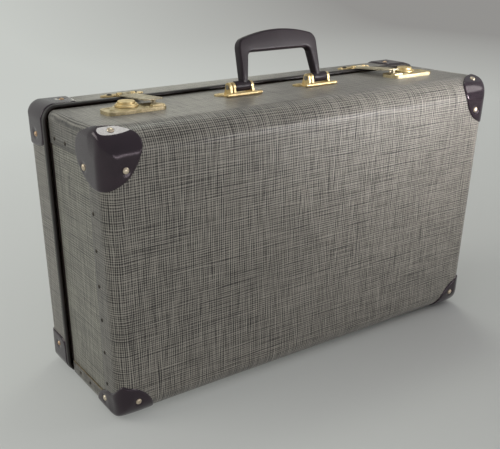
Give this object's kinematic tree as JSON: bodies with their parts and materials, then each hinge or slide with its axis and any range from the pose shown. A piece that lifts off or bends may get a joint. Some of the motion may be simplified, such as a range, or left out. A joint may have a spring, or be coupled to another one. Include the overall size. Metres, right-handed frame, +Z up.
{
  "type": "vintage suitcase",
  "caption": "Vintage hard suitcase with cloth-look fibre shell, dark moulded corner caps, hinged lid, swinging carry handle and brass hasp locks.",
  "frame": {"origin": "middle of the bounding box at floor level, under the standing case", "axes": "+X along the case to the viewer's right, -Y out of the large front face of the tray, +Z up to the handle"},
  "size_m": [0.633, 0.214, 0.44],
  "materials": {
    "covering": "woven crosshatch, grey-beige and black, satin",
    "lining": "plain matt",
    "valance": "dark reddish brown, matt",
    "binding": "brown-black, semi-gloss",
    "cap_fibre": "moulded aubergine fibre, glossy",
    "brass": "worn polish",
    "pebbled_brass": "pebbled and dull",
    "dark_steel": "darkened",
    "steel": "plain",
    "handle_plastic": "moulded plum-brown, semi-gloss"
  },
  "bodies": {
    "tray": {"tray_wrap": "covering", "end_panel_left": "covering", "end_panel_right": "covering", "flange_rivets": "dark_steel", "tray_rim": "valance", "tray_lining": "lining", "cap_top_left": "cap_fibre", "cap_top_right": "cap_fibre", "cap_bottom_left": "cap_fibre", "cap_bottom_right": "cap_fibre", "tray_cap_rivets": "brass", "bracket_left": "brass", "bracket_right": "brass", "bracket_rivets": "brass", "handle_pins": "steel", "lock_plate_left": "brass", "lock_plate_right": "brass", "plate_rivets": "brass", "tray_hinge_leaves": "brass", "hinge_pins": "steel", "tray_hinge_rivets": "brass"},
    "lid": {"lid_shell": "covering", "lid_rim": "binding", "lid_lining": "lining", "lid_cap_top_left": "cap_fibre", "lid_cap_top_right": "cap_fibre", "lid_cap_bottom_left": "cap_fibre", "lid_cap_bottom_right": "cap_fibre", "lid_cap_rivets": "brass", "keeper_left": "brass", "keeper_right": "brass", "keeper_screws": "dark_steel", "hasp_pins": "steel", "lid_hinge_leaves": "brass", "lid_hinge_rivets": "brass"},
    "handle": {"handle": "handle_plastic"},
    "hasp_left": {"hasp_left": "pebbled_brass"},
    "hasp_right": {"hasp_right": "pebbled_brass"},
    "button_left": {"button_left": "brass", "bolt_left": "steel"},
    "button_right": {"button_right": "brass", "bolt_right": "steel"}
  },
  "joints": [
    {"name": "lid_hinge", "type": "hinge", "parent": "tray", "child": "lid", "pos_m": [0, 0.04275, 0.0036], "axis": [-1, 0, 0], "range_deg": [0, 100]},
    {"name": "handle_swing", "type": "hinge", "parent": "tray", "child": "handle", "pos_m": [0, -0.0075, 0.3754], "axis": [-1, 0, 0], "range_deg": [-95, 65]},
    {"name": "hasp_left_hinge", "type": "hinge", "parent": "lid", "child": "hasp_left", "pos_m": [-0.199, 0.0545, 0.3703], "axis": [-1, 0, 0], "range_deg": [-4, 100]},
    {"name": "hasp_right_hinge", "type": "hinge", "parent": "lid", "child": "hasp_right", "pos_m": [0.199, 0.0545, 0.3703], "axis": [-1, 0, 0], "range_deg": [-4, 100]},
    {"name": "button_left_slide", "type": "slide", "parent": "tray", "child": "button_left", "axis": [1, 0, 0], "range_m": [0, 0.005]},
    {"name": "button_right_slide", "type": "slide", "parent": "tray", "child": "button_right", "axis": [-1, 0, 0], "range_m": [0, 0.005]}
  ]
}
